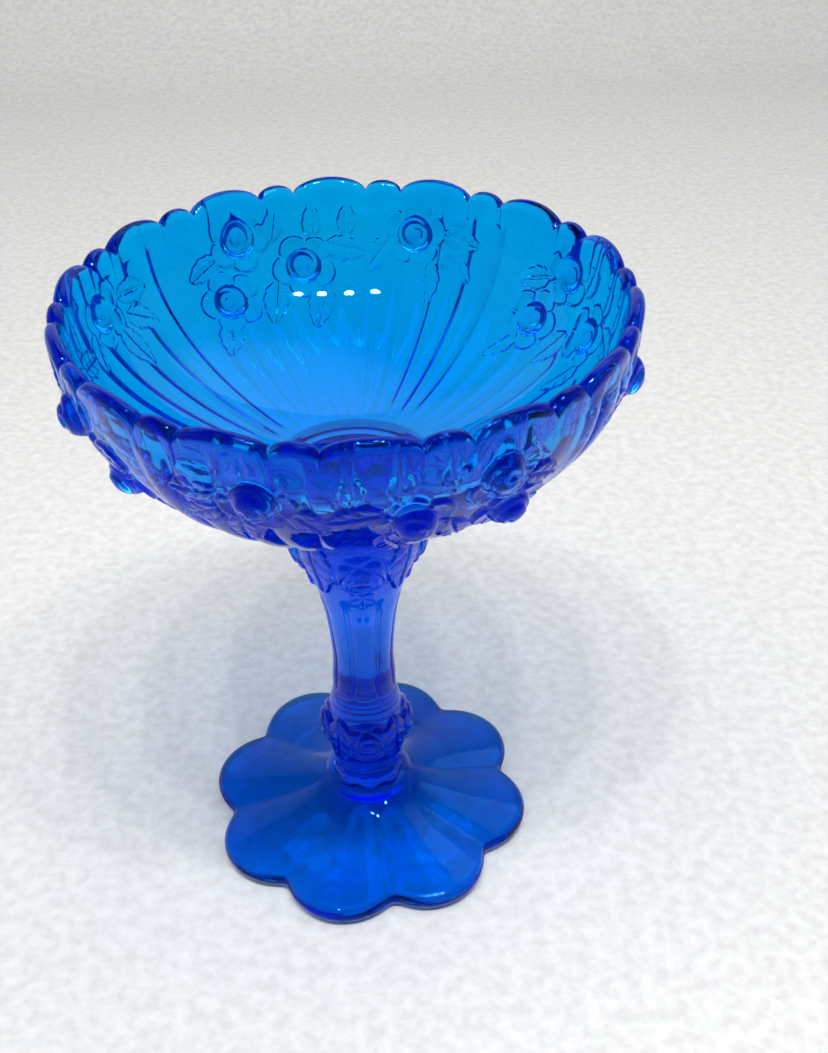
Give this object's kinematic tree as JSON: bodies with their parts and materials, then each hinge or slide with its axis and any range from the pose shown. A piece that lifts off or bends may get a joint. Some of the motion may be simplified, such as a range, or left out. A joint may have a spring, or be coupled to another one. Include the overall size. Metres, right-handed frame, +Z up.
{
  "type": "footed glass compote",
  "caption": "Footed pressed-glass compote: a deep scalloped bowl with rose relief on a fluted stem and a petalled foot.",
  "frame": {"origin": "middle of the underside of the foot, on the surface that the compote stands on", "axes": "+Z up along the axis of the stem, +Y towards the back of the compote"},
  "size_m": [0.1588, 0.1594, 0.2032],
  "materials": {
    "bowl_glass": "clear transparent blue pressed glass, polished",
    "stem_glass": "the same blue glass, solid and so darker",
    "foot_glass": "the same blue glass, thick and slightly wavy"
  },
  "bodies": {
    "root": {"bowl": "bowl_glass", "stem": "stem_glass", "foot": "foot_glass"}
  },
  "joints": []
}
